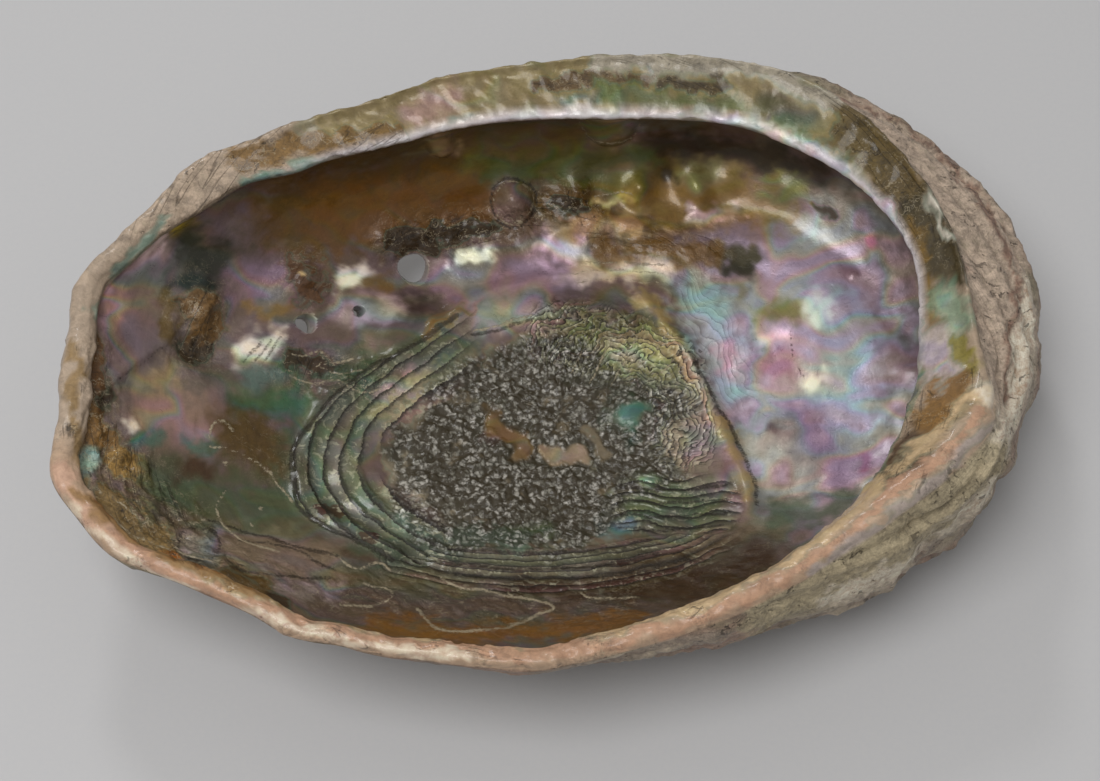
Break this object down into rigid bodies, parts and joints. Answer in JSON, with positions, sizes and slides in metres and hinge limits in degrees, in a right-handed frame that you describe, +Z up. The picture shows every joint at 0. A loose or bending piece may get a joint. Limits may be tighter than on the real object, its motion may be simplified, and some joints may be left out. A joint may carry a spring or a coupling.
{
  "type": "abalone shell",
  "caption": "Ear-shaped sea snail shell lying hollow side up, with a wide inner shelf, a low spire, a row of breathing holes and a raised muscle scar.",
  "frame": {"origin": "on the surface that the shell lies on, under the middle of its outline in plan", "axes": "+Z up out of the hollow, +X along the length towards the spire, +Y towards the inner lip's shelf"},
  "size_m": [0.2028, 0.142, 0.0492],
  "materials": {
    "shell": "polished nacre inside, chalky outside"
  },
  "bodies": {
    "root": {"shell": "shell"}
  },
  "joints": []
}
